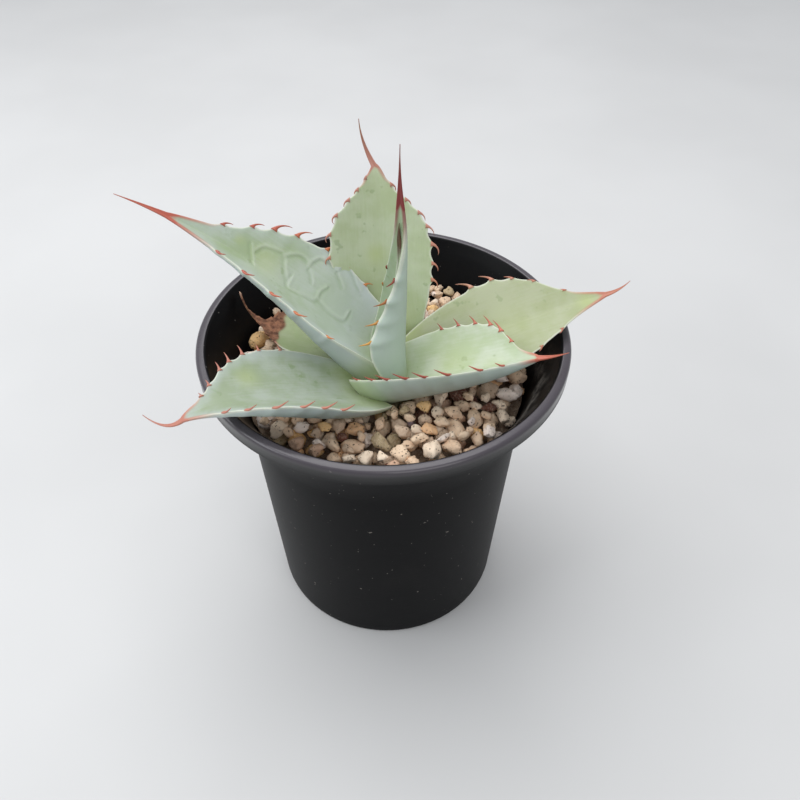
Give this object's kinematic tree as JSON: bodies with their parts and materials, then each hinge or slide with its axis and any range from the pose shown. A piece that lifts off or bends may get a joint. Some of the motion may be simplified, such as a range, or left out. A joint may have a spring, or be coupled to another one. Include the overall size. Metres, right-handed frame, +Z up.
{
  "type": "potted agave",
  "caption": "Young agave rosette with toothed, spine-tipped leaves, planted in pale pumice in a tapered black plastic nursery pot.",
  "frame": {"origin": "middle of the flat underside of the pot, on the surface it stands on", "axes": "+Z up along the pot's axis; -Y is the side with the low front leaves, and the two longest leaves point to -X and +X"},
  "size_m": [0.1582, 0.12, 0.1821],
  "materials": {
    "pot_plastic": "satin black injection-moulded plastic with dust and light scuffs",
    "leaf_skin": "waxy pale glaucous green with a whitish margin, coral red teeth and terminal spines",
    "withered_leaf": "dull olive green leaf with a dry brown curled end",
    "stem_tissue": "matt fibrous short stem",
    "pumice": "rough porous cream to tan stone"
  },
  "bodies": {
    "root": {"pot": "pot_plastic", "pumice_bed": "pumice", "stem": "stem_tissue", "leaf_spear": "leaf_skin", "leaf_heart": "leaf_skin", "leaf_left": "leaf_skin", "leaf_back": "leaf_skin", "leaf_front_right": "leaf_skin", "leaf_right": "leaf_skin", "leaf_front_left": "leaf_skin", "leaf_withered": "withered_leaf", "stone_01": "pumice", "stone_02": "pumice", "stone_03": "pumice", "stone_04": "pumice", "stone_05": "pumice", "stone_06": "pumice", "stone_07": "pumice", "stone_08": "pumice", "stone_09": "pumice", "stone_10": "pumice", "stone_11": "pumice", "stone_12": "pumice", "stone_13": "pumice", "stone_14": "pumice", "stone_15": "pumice", "stone_16": "pumice", "stone_17": "pumice", "stone_18": "pumice", "stone_19": "pumice", "stone_20": "pumice", "stone_21": "pumice", "stone_22": "pumice", "stone_23": "pumice", "stone_24": "pumice", "stone_25": "pumice", "stone_26": "pumice", "stone_27": "pumice", "stone_28": "pumice", "stone_29": "pumice", "stone_30": "pumice", "stone_31": "pumice", "stone_32": "pumice", "stone_33": "pumice"}
  },
  "joints": []
}
